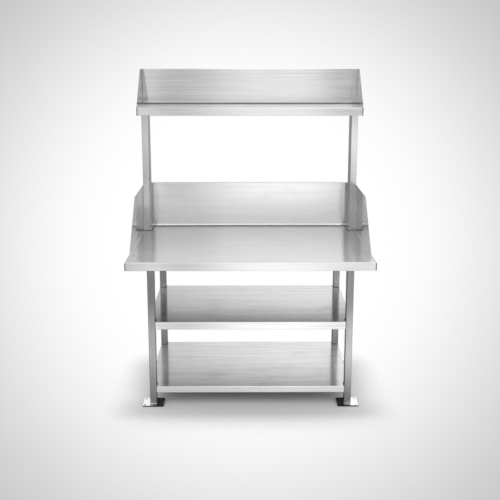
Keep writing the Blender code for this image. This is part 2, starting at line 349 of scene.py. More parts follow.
@dataclass(frozen=True)
class BrushedGrain:
    """Brushed grain that follows a sheet round its folds."""

    fine: StreakLayer = StreakLayer(along=5.0, across=900.0, detail=1.0)
    middle: StreakLayer = StreakLayer(along=1.3, across=210.0, detail=2.0)
    wide: StreakLayer = StreakLayer(along=2.2, across=75.0, detail=2.0)
    swell: StreakLayer = StreakLayer(along=4.2, across=0.9, detail=2.0)
    clouds: Noise = Noise(3.2, 3.0, 0.55)
    fine_tone: float = 0.35
    middle_tone: float = 0.5
    wide_tone: float = 0.9
    middle_roughness: float = 0.12
    cloud_roughness: float = 0.05
    fine_height: float = 0.005
    middle_height: float = 0.003

    def group(self) -> EffectGroup:
        """Builds the group.

        Returns:
            The group. Where a face looks along the grain, the grain turns into the second direction.
        """
        group = EffectGroup("Brushed grain", ("Tone", "Roughness Shift", "Height"),
                            ("Streaks", "Clouds", "Fineness", "Waves"), ("Grain", "Second"))
        g, start = group.graph, group.start
        place = g.place()
        directions = g.face_directions(start["Grain"], start["Second"])
        spot = [g.vector("DOT_PRODUCT", place, direction) for direction in directions]
        fine, middle, wide, swell = (layer.place(g, spot, start["Fineness"])
                                     for layer in (self.fine, self.middle, self.wide, self.swell))
        clouds = self.clouds.centred(g, place)
        streaks = g.weigh((middle, self.middle_tone), (wide, self.wide_tone), (fine, self.fine_tone))
        tone = g.weigh((streaks, start["Streaks"]), (clouds, start["Clouds"]))
        shift = g.weigh((middle, self.middle_roughness), (clouds, self.cloud_roughness))
        height = g.weigh((fine, self.fine_height), (middle, self.middle_height), (swell, start["Waves"]))
        g.fill(group.end, Tone=g.maths("ADD", tone, 1.0), Roughness_Shift=shift, Height=height)
        return group


@dataclass(frozen=True)
class OrbitalMarks:
    """Fine swirls of a disc sander, for plates and dressed welds."""

    rings: float = 42.0
    ring_share: float = 0.35
    specks: Noise = Noise(260.0, 2.0)
    roughness: float = 0.12
    height: float = 0.01

    def group(self) -> EffectGroup:
        """Builds the group.

        Returns:
            The group.
        """
        group = EffectGroup("Orbital marks", ("Tone", "Roughness Shift", "Height"), ("Swirl Scale", "Depth"))
        g, start = group.graph, group.start
        place = g.place()
        cells = g.node("ShaderNodeTexVoronoi", feature="F1")
        g.fill(cells, Vector=place, Scale=start["Swirl Scale"])
        rings = g.maths("SINE", g.maths("MULTIPLY", cells.outputs["Distance"], self.rings))
        marks = g.maths("ADD", g.maths("MULTIPLY", rings, self.ring_share), self.specks.centred(g, place))
        tone = g.maths("ADD", g.maths("MULTIPLY", marks, start["Depth"]), 1.0)
        g.fill(group.end, Tone=tone, Roughness_Shift=g.maths("MULTIPLY", marks, self.roughness),
               Height=g.maths("MULTIPLY", marks, self.height))
        return group


@dataclass(frozen=True)
class HandlingWear:
    """Wiped and dulled patches from handling, and a darkening that grows towards the floor."""

    lowness: Ramp = Ramp(0.0, 1.0, 1.0, 0.0)
    wipes: Noise = Noise(7.0, 3.0)
    wiped: Ramp = Ramp(0.52, 0.80, 0.0, 1.0)
    worn_shade: float = 0.25
    near_floor_shade: float = 0.06
    worn_roughness: float = 0.2
    near_floor_roughness: float = 0.05

    def group(self) -> EffectGroup:
        """Builds the group.

        Returns:
            The group.
        """
        group = EffectGroup("Handling wear", ("Shade", "Roughness Shift"), ("Amount", "Dust Height"))
        g, start = group.graph, group.start
        place = g.place()
        # Darker and a little rougher towards the floor.
        low = self.lowness.place(g, g.split(place)["Z"])
        near_floor = g.maths("POWER", low, g.maths("DIVIDE", 1.0, start["Dust Height"]))
        worn = g.maths("MULTIPLY", self.wiped.place(g, self.wipes.place(g, place)), start["Amount"])
        shade = g.maths("SUBTRACT", 1.0, g.weigh((worn, self.worn_shade), (near_floor, self.near_floor_shade)))
        shift = g.weigh((worn, self.worn_roughness), (near_floor, self.near_floor_roughness))
        g.fill(group.end, Shade=shade, Roughness_Shift=shift)
        return group


def painted_shade_group() -> EffectGroup:
    """Builds the painted shade along one direction: darker tube ends, a darker worktop back, darker shelf
    fronts and darker inner halves of the foot plates.

    Returns:
        The group.
    """
    group = EffectGroup("Painted shade fade", ("Shade",), ("Middle", "Near", "Far", "Amount"), ("Direction",))
    g, start = group.graph, group.start
    along = g.vector("DOT_PRODUCT", g.place(), start["Direction"])
    apart = g.maths("ABSOLUTE", g.maths("SUBTRACT", along, start["Middle"]))
    loss = Ramp(start["Near"], start["Far"], 0.0, start["Amount"]).place(g, apart)
    g.fill(group.end, Shade=g.maths("SUBTRACT", 1.0, loss))
    return group


@dataclass(frozen=True)
class Effects:
    """The node groups that the materials share."""

    brushing: EffectGroup
    orbital: EffectGroup
    wear: EffectGroup
    fade: EffectGroup


@dataclass(frozen=True)
class PaintedShade:
    """A painted shade that starts at the near distance from a middle and is full at the far one.

    The distances are taken along a direction. Where near is the greater one, the inner part is shaded.
    """

    direction: Axis
    middle: float
    near: float
    far: float
    amount: float
    only_level: bool = False

    def place(self, g: Graph, group: EffectGroup) -> Socket:
        """Places the fade in a material.

        Args:
            g: the material's graph.
            group: the fade's group.

        Returns:
            How much of the colour is left, on all faces or only on those that look up.
        """
        shade = group.place(g, Direction=self.direction.value, Middle=self.middle, Near=self.near,
                            Far=self.far, Amount=self.amount)["Shade"]
        if not self.only_level:
            return shade
        level = g.maths("GREATER_THAN", g.split(g.normal())["Z"], LOOKS_UP)
        return g.darken(level, g.maths("SUBTRACT", 1.0, shade))


@dataclass(frozen=True)
class SteelFinish:
    """A stainless steel finish, with the direction it was ground in.

    The underside, topside, flank and cut_edge say how much of the colour is left on such faces: painted
    shade and painted dark reflections, set by the way a face looks.
    """

    name: str
    colour: Triple
    roughness: float
    work: Work = Work.BRUSHED
    grain: Axis = Axis.X
    second: Axis = Axis.Z
    streaks: float = 0.07
    clouds: float = 0.03
    fineness: float = 1.0
    waves: float = 0.30
    anisotropy: float = 0.95
    wear: float = 0.12
    near_floor_reach: float = 0.25
    underside: float = 0.45
    cut_edge: float = 1.0
    topside: float = 1.0
    topside_from: float = LOOKS_UP
    flank: float = 1.0
    fade: PaintedShade | None = None

    def material(self, effects: Effects) -> Material:
        """Builds the material.

        Args:
            effects: the shared groups.

        Returns:
            The finished material.
        """
        made = bpy.data.materials.new(self.name)
        made.use_nodes = True
        g = Graph(made.node_tree)
        shader = made.node_tree.nodes["Principled BSDF"]
        if self.work is Work.BRUSHED:
            grain, second = self.grain.value, self.second.value
            pattern = effects.brushing.place(g, Grain=grain, Second=second, Streaks=self.streaks,
                                             Clouds=self.clouds, Fineness=self.fineness, Waves=self.waves)
            across = g.face_directions(grain, second)[1]
            g.fill(shader, Anisotropic=self.anisotropy, Tangent=across)
        else:
            pattern = effects.orbital.place(g, Swirl_Scale=self.work.value, Depth=self.streaks)
        wear = effects.wear.place(g, Amount=self.wear, Dust_Height=self.near_floor_reach)
        tone = g.chain("MULTIPLY", pattern["Tone"], wear["Shade"], self.painted_face_shade(g))
        # Painted shade along a direction, where the finish has one.
        if self.fade:
            tone = g.maths("MULTIPLY", tone, self.fade.place(g, effects.fade))
        colour = g.mix(Mixed.COLOURS, 1.0, (*self.colour, 1.0), g.grey(tone), "MULTIPLY")
        shift = g.maths("ADD", pattern["Roughness Shift"], wear["Roughness Shift"])
        bump = g.node("ShaderNodeBump")
        g.fill(bump, Strength=1.0, Distance=BUMP_DEPTH, Height=pattern["Height"])
        g.fill(shader, Metallic=1.0, Base_Color=colour, Normal=bump.outputs[0],
               Roughness=g.maths("ADD", shift, self.roughness, clamp=True))
        return made

    def painted_face_shade(self, g: Graph) -> Socket:
        """Paints shade on the faces that look down, up or inwards, and on the cut edges of a plate.

        Args:
            g: the material's graph.

        Returns:
            How much of the colour is left on each face.
        """
        normal = g.split(g.normal())
        across, rise = normal["X"], normal["Z"]
        inwards = g.maths("MULTIPLY", across, g.maths("SIGN", g.split(g.place())["X"]))
        # Painted shade: each kind of face is darkened by the way it looks, where shade and dark reflections
        # fall.
        faces = ((g.maths("LESS_THAN", rise, LOOKS_DOWN), self.underside),
                 (g.maths("LESS_THAN", g.maths("ABSOLUTE", rise), UPRIGHT), self.cut_edge),
                 (g.maths("GREATER_THAN", rise, self.topside_from), self.topside),
                 (g.maths("LESS_THAN", inwards, LOOKS_INWARDS), self.flank))
        return g.chain("MULTIPLY", *(g.darken(mask, 1.0 - left) for mask, left in faces))


def neutral(level: float) -> Triple:
    """A colour without a tint."""
    return level, level, level


# Painted shade and painted dark reflections along a direction: tube ends, the worktop's back, the shelves'
# fronts and the foot plates' inner halves.
LEG_FADE = PaintedShade(Axis.Z, middle=0.38, near=0.04, far=0.29, amount=0.45)
POST_FADE = PaintedShade(Axis.Z, middle=1.62, near=0.05, far=0.50, amount=0.30)
WORKTOP_FADE = PaintedShade(Axis.Y, middle=-0.35, near=0.0, far=0.75, amount=0.30, only_level=True)
SHELF_FADE = PaintedShade(Axis.BACK_RIGHT, middle=0.64, near=0.40, far=1.28, amount=0.20, only_level=True)
FOOT_FADE = PaintedShade(Axis.X, middle=0.0, near=0.585, far=0.545, amount=0.60)

FINISHES = {
    "deck": SteelFinish("brushed_deck", neutral(0.84), 0.20, streaks=0.22, fineness=0.7, anisotropy=0.90,
                        topside=0.85, underside=0.36, fade=WORKTOP_FADE),
    "shelf_deck": SteelFinish("brushed_shelf_deck", neutral(0.86), 0.19, streaks=0.36, fineness=0.7,
                              anisotropy=0.92, topside=0.94, underside=0.24, fade=SHELF_FADE),
    "panel": SteelFinish("brushed_panel", neutral(0.85), 0.17, streaks=0.15),
    # Painted shade: the side plates are the panels' steel, given a darker colour for the darker reflections
    # they show.
    "side_plate": SteelFinish("brushed_side_plate", neutral(0.49), 0.13, grain=Axis.Y, streaks=0.25),
    # Painted shade: the legs are the posts' tube, given a darker colour for the shade and dark reflections
    # on them.
    "leg_tube": SteelFinish("ground_leg_tube", neutral(0.59), 0.18, grain=Axis.Z, second=Axis.X,
                            waves=0.1, streaks=0.25, flank=0.24, fade=LEG_FADE),
    "post_tube": SteelFinish("ground_post_tube", neutral(0.81), 0.20, grain=Axis.Z, second=Axis.X, waves=0.1,
                             streaks=0.20, flank=0.58, fade=POST_FADE),
    # Painted highlight and painted shade: the seams are brighter than the panels and their upward faces are
    # darkened, for the bright line over the dark line at the panels' feet.
    "seam": SteelFinish("ground_seam", neutral(0.94), 0.14, topside=0.14, topside_from=0.75, waves=0.0),
    "upper_seam": SteelFinish("ground_upper_seam", neutral(0.88), 0.14, topside=0.14, topside_from=0.10,
                              waves=0.0),
    "long_tube": SteelFinish("mill_long_tube", (0.52, 0.52, 0.53), 0.42, streaks=0.2),
    "cross_tube": SteelFinish("mill_cross_tube", (0.52, 0.52, 0.53), 0.42, grain=Axis.Y, streaks=0.2),
    "foot_plate": SteelFinish("polished_foot_plate", neutral(0.95), 0.12, Work.ORBITAL, streaks=0.10,
                              cut_edge=0.10, fade=FOOT_FADE),
    "weld": SteelFinish("weld_metal", (0.72, 0.715, 0.70), 0.24, Work.WELDED, streaks=0.25, wear=0.3),
    # Dark weld metal, also used for the painted shadows beside the post welds and in front of the back
    # seams.
    "joint": SteelFinish("dark_weld_and_painted_shadow", (0.17, 0.165, 0.16), 0.36, Work.WELDED, streaks=0.25, wear=0.3),
}

CORNERS = [f"{row}_{hand}" for row in ROWS for hand in HANDS]
NODE_FINISHES = {
    "deck": ("worktop", "upper_shelf"),
    "shelf_deck": ("shelf_middle", "shelf_lower"),
    "panel": ("backsplash", "upper_back"),
    "side_plate": ("side_splash_left", "side_splash_right", "upper_side_left", "upper_side_right"),
    "leg_tube": [f"leg_{corner}" for corner in CORNERS],
    "post_tube": ("post_left", "post_right"),
    "long_tube": ("rail_front", "rail_back", "shelf_middle_channel", "shelf_lower_channel",
                  "upper_shelf_channel"),
    "cross_tube": ("rail_left", "rail_right", "post_bearer_left", "post_bearer_right",
                   "worktop_channel_1", "worktop_channel_2"),
    "foot_plate": [f"foot_plate_{corner}" for corner in CORNERS],
}


class Workshop:
    """The bench that pieces are modelled on: selection, edit mode and finishing."""

    @staticmethod
    def clear() -> None:
        """Leaves edit mode and deselects everything."""
        if bpy.context.object and bpy.context.object.mode != "OBJECT":
            bpy.ops.object.mode_set(mode="OBJECT")
        bpy.ops.object.select_all(action="DESELECT")

    @staticmethod
    def edit_edges() -> None:
        """Goes into edit mode, to pick edges, with nothing selected."""
        bpy.ops.object.mode_set(mode="EDIT")
        bpy.ops.mesh.select_mode(type="EDGE")
        bpy.ops.mesh.select_all(action="DESELECT")

    @staticmethod
    def finish(pieces: list[Piece], name: str, material: Material, slot: str) -> None:
        """Joins pieces into one, and gives it its name, material and body.

        Args:
            pieces: what is joined, each with its place in its mesh. The first one stays.
            name: the joined piece's name.
            material: what it is made of.
            slot: not used.
        """
        Workshop.clear()
        for part in pieces:
            part.select_set(True)
        piece = pieces[0]
        bpy.context.view_layer.objects.active = piece
        if len(pieces) > 1:
            bpy.ops.object.join()
        piece.name = piece.data.name = name
        piece.data.materials.clear()
        piece.data.materials.append(material)
        bpy.ops.object.shade_smooth_by_angle(angle=math.radians(SMOOTH_DEGREES))
        Workshop.clear()
        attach(piece, BODY)
        LOG.info("%s: %d faces", piece.name, len(piece.data.polygons))


def run_matrix(start: Vector, end: Vector, up: Vector) -> Matrix:
    """Finds the placing of a run that is drawn along +Z.

    Args:
        start: where the run begins.
        end: where it ends.
        up: the direction that its local +X takes.

    Returns:
        The matrix.
    """
    along = (end - start).normalized()
    side = along.cross(up).normalized()
    return Matrix.Translation(start) @ Matrix((up, side, along)).transposed().to_4x4()


def inner_and_outer(low: float, high: float, side: int) -> tuple[float, float]:
    """The inner and the outer face of a piece that stands on the low side, -1, or on the high side, 1."""
    return (high, low) if side < 0 else (low, high)


@dataclass
class WeldRun:
    """A straight rippled weld bead, with its up direction out of the joint."""

    start: Vector
    end: Vector
    up: Vector
    width: float = 0.0044
    pitch: float = 0.0026
    swell: float = 1.28
    sides: int = 8
    merge_share: float = 0.05

    def build(self) -> Piece:
        """Models one ripple, repeats it along the run and closes the ends.

        Returns:
            The bead, with its place in its mesh.
        """
        length = (self.end - self.start).length
        count = max(2, round(length / self.pitch))
        step = length / count
        middle = (0, 0, step / 2)
        Workshop.clear()
        bpy.ops.mesh.primitive_cylinder_add(vertices=self.sides, radius=self.width / 2, depth=step,
                                            end_fill_type="NOTHING", location=middle)
        bead = bpy.context.object
        bpy.ops.object.transform_apply(location=True)
        bpy.ops.object.mode_set(mode="EDIT")
        bpy.ops.mesh.select_all(action="SELECT")
        bpy.ops.mesh.bisect(plane_co=middle, plane_no=(0, 0, 1))
        bpy.ops.transform.resize(value=(self.swell, self.swell, 1))
        bpy.ops.object.mode_set(mode="OBJECT")
        row = bead.modifiers.new("row", "ARRAY")
        row.count = count
        row.use_relative_offset = False
        row.use_constant_offset = True
        row.constant_offset_displace = (0, 0, step)
        row.use_merge_vertices = True
        row.merge_threshold = step * self.merge_share
        bpy.ops.object.modifier_apply(modifier="row")
        Workshop.edit_edges()
        bpy.ops.mesh.select_non_manifold()
        bpy.ops.mesh.fill_holes(sides=self.sides)
        bpy.ops.mesh.select_all(action="SELECT")
        bpy.ops.mesh.normals_make_consistent(inside=False)
        bpy.ops.object.mode_set(mode="OBJECT")
        bead.data.transform(run_matrix(self.start, self.end, self.up))
        return bead


def level_beads(spots: list[tuple[float, float]], height: float, **sizes: float) -> list[Piece]:
    """Builds straight beads from spot to spot on a level face.

    Args:
        spots: the X and Y of where the beads start, meet and end.
        height: the face's height.
        **sizes: sizes of a WeldRun.

    Returns:
        The beads.
    """
    corners = [Vector((*spot, height)) for spot in spots]
    return [WeldRun(start, end, UP, **sizes).build() for start, end in zip(corners, corners[1:])]


@dataclass
class CoveRun:
    """A ground corner seam with a hollow face, along the line where two sheets meet.

    The first direction is the one that a sheet takes from that line, and the other sheet is square to it.
    """

    start: Vector
    end: Vector
    first: Vector
    size: float
    hollow_share: float = 0.94
    hollow_profile: float = 0.22
    hollow_facets: int = 6

    def build(self) -> Piece:
        """Models a square bar and hollows its outer edge.

        Returns:
            The seam, with its place in its mesh.
        """
        length = (self.end - self.start).length
        Workshop.clear()
        bpy.ops.mesh.primitive_cube_add(size=1, location=(0.5, 0.5, 0.5))
        bar = bpy.context.object
        bpy.ops.object.transform_apply(location=True)
        bar.data.transform(Matrix.Diagonal((self.size, self.size, length, 1)))
        Workshop.edit_edges()
        bpy.ops.object.mode_set(mode="OBJECT")
        for edge in bar.data.edges:
            ends = [bar.data.vertices[index].co for index in edge.vertices]
            edge.select = all(min(point.x, point.y) > self.size / 2 for point in ends)
        bpy.ops.object.mode_set(mode="EDIT")
        bpy.ops.mesh.bevel(offset=self.size * self.hollow_share, segments=self.hollow_facets,
                           profile=self.hollow_profile, affect="EDGES")
        bpy.ops.object.mode_set(mode="OBJECT")
        bar.data.transform(run_matrix(self.start, self.end, self.first))
        return bar


@dataclass
class FootWelds:
    """The welds round each leg, where it stands on its foot plate."""

    material: Material
    slot: str = "foot_plate"

    def build(self) -> None:
        """Builds a closed bead round every leg's base."""
        for corner in CORNERS:
            low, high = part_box(f"leg_{corner}")
            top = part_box(f"foot_plate_{corner}")[1].z
            spots = [(low.x, low.y), (high.x, low.y), (high.x, high.y), (low.x, high.y), (low.x, low.y)]
            Workshop.finish(level_beads(spots, top), f"foot_weld_{corner}", self.material, self.slot)


@dataclass
class PostWelds:
    """The welds round each post on the worktop, with a painted shadow beside them."""

    material: Material
    painted_shadow_material: Material
    width: float = 0.0085
    shadow_width: float = 0.0080
    shadow_reach: float = 0.0080
    pitch: float = 0.004
    slot: str = "ground_tube"

    def build(self) -> None:
        """Builds a bead round the free sides of both posts' bases, and a dark run beside it as a painted
        shadow.
        """
        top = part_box("worktop")[1].z
        for hand, side in HANDS.items():
            low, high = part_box(f"post_{hand}")
            wall_low, wall_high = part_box(f"side_splash_{hand}")
            wall = inner_and_outer(wall_low.x, wall_high.x, side)[0]
            inner = inner_and_outer(low.x, high.x, side)[0]
            spots = [(wall, low.y), (inner, low.y), (inner, high.y), (wall, high.y)]
            Workshop.finish(level_beads(spots, top, width=self.width, pitch=self.pitch),
                            f"post_weld_{hand}", self.material, self.slot)
            # Painted shadow: a dark bead laid on the worktop just outside the weld.
            edge = inner - side * self.shadow_reach
            front = low.y - self.shadow_reach
            spots = [(wall, front), (edge, front), (edge, high.y)]
            Workshop.finish(level_beads(spots, top, width=self.shadow_width, pitch=self.pitch),
                            f"post_weld_painted_shadow_{hand}", self.painted_shadow_material, self.slot)


@dataclass
class PostSeams:
    """The ground seam down each post, where it stands against its side splash."""

    material: Material
    width: float = 0.0052
    pitch: float = 0.02
    swell: float = 1.03
    inset: float = 0.0012
    foot_gap: float = 0.002
    head_gap: float = 0.006
    slot: str = "ground_tube"

    def build(self) -> None:
        """Builds one upright seam on each side."""
        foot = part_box("worktop")[1].z + self.foot_gap
        for hand, side in HANDS.items():
            low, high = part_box(f"post_{hand}")
            outer = inner_and_outer(low.x, high.x, side)[1]
            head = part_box(f"side_splash_{hand}")[1].z - self.head_gap
            start, end = (Vector((outer, low.y + self.inset, height)) for height in (foot, head))
            run = WeldRun(start, end, TO_PACKER, self.width, self.pitch, self.swell).build()
            Workshop.finish([run], f"post_seam_{hand}", self.material, self.slot)


@dataclass
class ShelfWelds:
    """The welds that hold each shelf to the legs: upright ones on its lip, level ones along its notches."""

    material: Material
    lip_width: float = 0.0034
    inset: float = 0.0008
    foot_gap: float = 0.003
    head_gap: float = 0.002
    notch_width: float = 0.0060
    notch_pitch: float = 0.004
    notch_free_share: float = 0.12
    slot: str = "brushed_deck"

    def build(self) -> None:
        """Builds the beads at the corners of the middle and lower shelf."""
        for shelf in ("shelf_middle", "shelf_lower"):
            runs = []
            for row in ROWS:
                for hand in HANDS:
                    runs += self.corner(shelf, row, hand)
            Workshop.finish(runs, f"{shelf}_welds", self.material, self.slot)

    def corner(self, shelf: str, row: str, hand: str) -> list[Piece]:
        """Builds the beads round one leg.

        Args:
            shelf: the shelf's node.
            row: front or back.
            hand: left or right.

        Returns:
            Two upright and two level beads.
        """
        low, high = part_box(shelf)
        leg_low, leg_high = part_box(f"leg_{row}_{hand}")
        inner_x, outer_x = inner_and_outer(leg_low.x, leg_high.x, HANDS[hand])
        inner_y = inner_and_outer(leg_low.y, leg_high.y, ROWS[row])[0]
        lip_y = inner_and_outer(low.y, high.y, ROWS[row])[1]
        foot, head = low.z + self.foot_gap, high.z - self.head_gap
        middle = Vector((inner_x, inner_y, high.z))
        uprights, levels = [], []
        for x, y, out in ((inner_x, lip_y, Vector((0, ROWS[row], 0))),
                          (outer_x, inner_y, Vector((HANDS[hand], 0, 0)))):
            start, end = (Vector((x, y, height)) - out * self.inset for height in (foot, head))
            uprights.append(WeldRun(start, end, out, self.lip_width).build())
            stop = Vector((x, y, high.z)).lerp(middle, self.notch_free_share)
            levels.append(WeldRun(middle, stop, UP, self.notch_width, self.notch_pitch).build())
        return uprights + levels


@dataclass
class CornerSeams:
    """The ground seams along the feet of the splashes and of the upper panels."""

    material: Material
    upper_material: Material
    painted_shadow_material: Material
    lower_size: float = 0.012
    upper_size: float = 0.008
    level_side_share: float = 0.18
    upright_share: float = 0.35
    shadow_share: float = 0.62
    shadow_pitch: float = 0.02
    shadow_swell: float = 1.04
    end_gap: float = 0.004
    slot: str = "brushed_panel"

    def build(self) -> None:
        """Builds the seams over the worktop and over the upper shelf."""
        self.corner_set("worktop_seams", "worktop", "side_splash", "backsplash", self.lower_size,
                        self.material)
        self.corner_set("upper_seams", "upper_shelf", "upper_side", "upper_back", self.upper_size,
                        self.upper_material)

    def corner_set(self, name: str, deck: str, side: str, back: str, size: float,
                   material: Material) -> None:
        """Builds the seams of one deck with its two sides and its back, and a painted shadow in front of the
        back one.

        Args:
            name: the piece's name.
            deck: the deck's node.
            side: what the two side nodes' names start with.
            back: the back panel's node.
            size: the width of the seam along the back.
            material: the seams' finish.
        """
        deck_low, deck_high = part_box(deck)
        back_low, back_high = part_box(back)
        left_low, left_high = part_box(f"{side}_left")
        walls = (left_high.x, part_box(f"{side}_right")[0].x)
        rear, top = back_low.y, deck_high.z
        front = max(left_low.y, deck_low.y) + self.end_gap
        head = min(left_high.z, back_high.z) - self.end_gap
        left_rear, right_rear = (Vector((x, rear, top)) for x in walls)
        left_front, right_front = (Vector((x, front, top)) for x in walls)
        left_head, right_head = (Vector((x, rear, head)) for x in walls)
        level, upright = size * self.level_side_share, size * self.upright_share
        runs = [CoveRun(left_rear, right_rear, UP, size).build(),
                CoveRun(left_front, left_rear, UP, level).build(),
                CoveRun(right_rear, right_front, UP, level).build(),
                CoveRun(left_rear, left_head, TO_PACKER, upright).build(),
                CoveRun(right_head, right_rear, TO_PACKER, upright).build()]
        Workshop.finish(runs, name, material, self.slot)
        # Painted shadow: a dark bead laid on the deck in front of the back seam.
        step = TO_PACKER * size
        edge = WeldRun(left_rear + step, right_rear + step, UP, size * self.shadow_share, self.shadow_pitch,
                       self.shadow_swell).build()
        Workshop.finish([edge], f"{deck}_seam_painted_shadow", self.painted_shadow_material, self.slot)


@dataclass
class LipCorners:
    """The dressed welds down the front corners of the worktop's and the upper shelf's lips."""

    material: Material
    width: float = 0.0060
    swell: float = 1.12
    inset: float = 0.0012
    foot_gap: float = 0.002
    head_gap: float = 0.004
    slot: str = "brushed_deck"

    def build(self) -> None:
        """Builds one bead down each front corner."""
        for deck in ("worktop", "upper_shelf"):
            low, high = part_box(deck)
            runs = []
            for x, side in ((low.x, HANDS["left"]), (high.x, HANDS["right"])):
                out = Vector((side, -1, 0)).normalized()
                foot, head = (Vector((x, low.y, height)) - out * self.inset
                              for height in (low.z + self.foot_gap, high.z - self.head_gap))
                runs.append(WeldRun(foot, head, out, width=self.width, swell=self.swell).build())
            Workshop.finish(runs, f"{deck}_corner_welds", self.material, self.slot)


@dataclass(frozen=True)
class Floor:
    """A round pale floor that runs out into the surroundings away from the table's shadow, with a painted
    shadow band in front of the table.
    """

    radius: float = 3.0
    facets: int = 96
    tone: float = 0.89
    roughness: float = 0.8
    shadow_half: tuple[float, float] = (0.60, 0.29)
    shadow_middle: float = -0.17
    run_out: Ramp = Ramp(0.0, 0.27, 0.0, 1.0)
    # Painted shadow band across the floor in front of the table.
    painted_shadow_in_front: Band = Band(-0.43, 0.03, 0.16, 0.21)
    specks: Noise = Noise(40.0, 3.0)
    speck_tone: Ramp = Ramp(0.0, 1.0, 0.985, 1.0)

    def build(self) -> None:
        """Lays the floor."""
        Workshop.clear()
        bpy.ops.mesh.primitive_circle_add(vertices=self.facets, radius=self.radius, fill_type="NGON")
        floor = bpy.context.object
        floor.name = floor.data.name = "floor"
        made = bpy.data.materials.new("pale_floor")
        made.use_nodes = True
        nodes = made.node_tree.nodes
        g = Graph(made.node_tree)
        place = g.place()
        shader = nodes["Principled BSDF"]
        speck = self.speck_tone.place(g, self.specks.place(g, place))
        # Painted shadow: the floor is darker in a band in front of the table's feet.
        painted_shadow_tone = g.maths("SUBTRACT", 1.0, self.painted_shadow_in_front.place(g, g.split(place)["Y"]))
        g.fill(shader, Base_Color=g.grey(g.chain("MULTIPLY", speck, self.tone, painted_shadow_tone)),
               Roughness=self.roughness, Specular_IOR_Level=0.0)
        clear = g.node("ShaderNodeBsdfTransparent").outputs[0]
        away = self.run_out.place(g, self.shadow_distance(g, place))
        surface = g.node("ShaderNodeMixShader", away, shader.outputs[0], clear).outputs[0]
        g.fill(nodes["Material Output"], Surface=surface)
        floor.data.materials.append(made)

    def shadow_distance(self, g: Graph, place: Socket) -> Socket:
        """How far a place lies from the rectangle that the shadow keeps to."""
        centred = g.vector("ABSOLUTE", g.vector("SUBTRACT", place, (0.0, self.shadow_middle, 0.0)))
        apart = g.vector("SUBTRACT", centred, (*self.shadow_half, 0.0))
        return g.vector("LENGTH", g.vector("MAXIMUM", apart, (0.0, 0.0, 0.0)))


@dataclass(frozen=True)
class Room:
    """The studio as the steel reflects it: panels and walls before and behind the table, and a ceiling.

    What varies across goes by a direction's turn to the right, in radians from straight before or behind.
    What varies upwards goes by its rise, the Z of its unit vector, and front and back go by its Y.
    """

    broad_panel: Band = Band(0.052, 0.02, 0.20, 0.78)
    narrow_panel: Band = Band(-0.145, 0.0, 0.035, 0.90)
    side_panel: Band = Band(0.29, 0.0, 0.12, 1.20)
    dark_gap: Band = Band(-0.36, 0.04, 0.18, 0.50)
    walls_outwards: Ramp = Ramp(0.45, 0.95, 0.47, 0.80)
    walls_rightwards: Ramp = Ramp(-0.30, 0.30, 0.98, 1.22)
    skirting: Band = Band(-0.355, 0.03, 0.09, 0.22)
    horizon: Band = Band(0.0, 0.03, 0.13, 0.68)
    horizon_rightwards: Ramp = Ramp(0.09, 0.15, 1.0, 1.9)
    high_wall_from: Ramp = Ramp(0.10, 0.22, 0.0, 1.0)
    high_wall: Ramp = Ramp(0.18, 0.34, 1.40, 0.80)
    overhead_panel: Band = Band(0.56, 0.02, 0.12, 0.75)
    back_outwards: Ramp = Ramp(0.45, 1.0, 1.0, 0.80)
    back_rightwards: Ramp = Ramp(-0.22, 0.14, 0.74, 1.0)
    back_upwards: Ramp = Ramp(0.335, 0.39, 0.62, 1.36)
    back_from: Ramp = Ramp(-0.15, 0.15, 0.0, 1.0)
    ceiling: Ramp = Ramp(-0.3, -0.1, 1.3, 0.95)
    ceiling_from: Ramp = Ramp(0.5, 0.9, 0.0, 1.0)

    def front(self, g: Graph, turn: Socket, rise: Socket) -> Socket:
        """Draws the front half.

        Args:
            g: the world's graph.
            turn: the direction's turn.
            rise: the direction's rise.

        Returns:
            How bright it is there.
        """
        open_wall = g.maths("SUBTRACT", 1.0, self.dark_gap.place(g, turn))
        walls = g.chain("MULTIPLY", self.walls_outwards.place(g, g.maths("ABSOLUTE", turn)),
                        self.walls_rightwards.place(g, turn), open_wall)
        panels = (band.place(g, turn) for band in (self.broad_panel, self.narrow_panel, self.side_panel))
        low_wall = g.chain("ADD", walls, *panels)
        horizon = g.maths("MULTIPLY", self.horizon.place(g, rise), self.horizon_rightwards.place(g, turn))
        shade = g.maths("ADD", self.skirting.place(g, rise), horizon)
        low_wall = g.maths("MULTIPLY", low_wall, g.maths("SUBTRACT", 1.0, shade))
        high = self.high_wall_from.place(g, rise)
        wall = g.mix(Mixed.NUMBERS, high, low_wall, self.high_wall.place(g, rise))
        return g.maths("ADD", wall, self.overhead_panel.place(g, rise))

    def back(self, g: Graph, turn: Socket, rise: Socket) -> Socket:
        """How bright the back half is, by the direction's turn and rise."""
        return g.chain("MULTIPLY", self.back_outwards.place(g, g.maths("ABSOLUTE", turn)),
                       self.back_rightwards.place(g, turn), self.back_upwards.place(g, rise))

    def brightness(self, g: Graph, heading: Socket) -> Socket:
        """Draws the whole room.

        Args:
            g: the world's graph.
            heading: the direction looked in.

        Returns:
            How bright it is there.
        """
        parts = g.split(heading)
        across, ahead, rise = parts["X"], parts["Y"], parts["Z"]
        turn = g.maths("ARCTAN2", across, g.maths("ABSOLUTE", ahead))
        walls = g.mix(Mixed.NUMBERS, self.back_from.place(g, ahead), self.front(g, turn, rise),
                      self.back(g, turn, rise))
        return g.mix(Mixed.NUMBERS, self.ceiling_from.place(g, rise), walls, self.ceiling.place(g, ahead))


